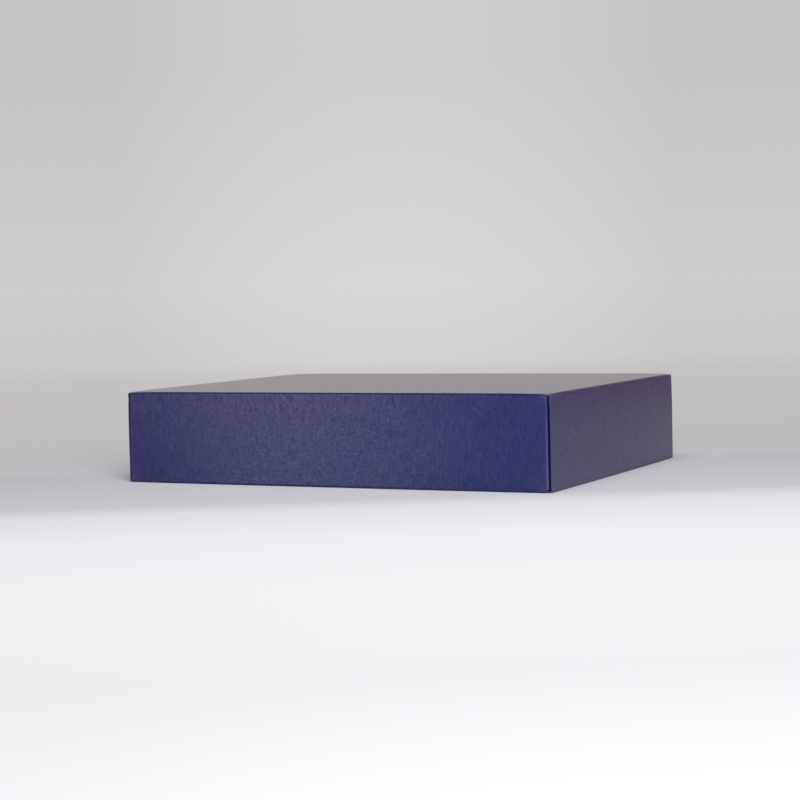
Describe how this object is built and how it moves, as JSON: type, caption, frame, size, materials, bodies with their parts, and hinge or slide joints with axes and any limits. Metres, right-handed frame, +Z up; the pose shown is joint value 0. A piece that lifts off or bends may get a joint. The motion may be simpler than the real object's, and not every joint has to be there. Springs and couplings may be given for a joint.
{
  "type": "two-piece gift box",
  "caption": "Low rectangular gift box of folding board: a base tray with rolled double walls and a lid of the same build that telescopes over its full depth.",
  "frame": {"origin": "middle of the underside, on the surface that the box stands on", "axes": "+X along the length, to the right; +Y along the width, to the back; +Z up, the way the lid lifts off"},
  "size_m": [0.25, 0.2, 0.05],
  "materials": {
    "lid_board": "satin",
    "base_board": "satin"
  },
  "bodies": {
    "base": {"base_bottom_panel": "base_board", "base_front_wall_outer": "base_board", "base_front_rim_fold": "base_board", "base_front_wall_inner": "base_board", "base_back_wall_outer": "base_board", "base_back_rim_fold": "base_board", "base_back_wall_inner": "base_board", "base_left_wall_outer": "base_board", "base_left_rim_fold": "base_board", "base_left_wall_inner": "base_board", "base_right_wall_outer": "base_board", "base_right_rim_fold": "base_board", "base_right_wall_inner": "base_board", "base_front_right_tab": "base_board", "base_front_left_tab": "base_board", "base_back_right_tab": "base_board", "base_back_left_tab": "base_board"},
    "lid": {"lid_top_panel": "lid_board", "lid_front_wall_outer": "lid_board", "lid_front_rim_fold": "lid_board", "lid_front_wall_inner": "lid_board", "lid_back_wall_outer": "lid_board", "lid_back_rim_fold": "lid_board", "lid_back_wall_inner": "lid_board", "lid_left_wall_outer": "lid_board", "lid_left_rim_fold": "lid_board", "lid_left_wall_inner": "lid_board", "lid_right_wall_outer": "lid_board", "lid_right_rim_fold": "lid_board", "lid_right_wall_inner": "lid_board", "lid_front_right_tab": "lid_board", "lid_front_left_tab": "lid_board", "lid_back_right_tab": "lid_board", "lid_back_left_tab": "lid_board"}
  },
  "joints": [
    {"name": "lid_lift", "type": "slide", "parent": "base", "child": "lid", "axis": [0, 0, 1], "range_m": [0, 0.12]}
  ]
}
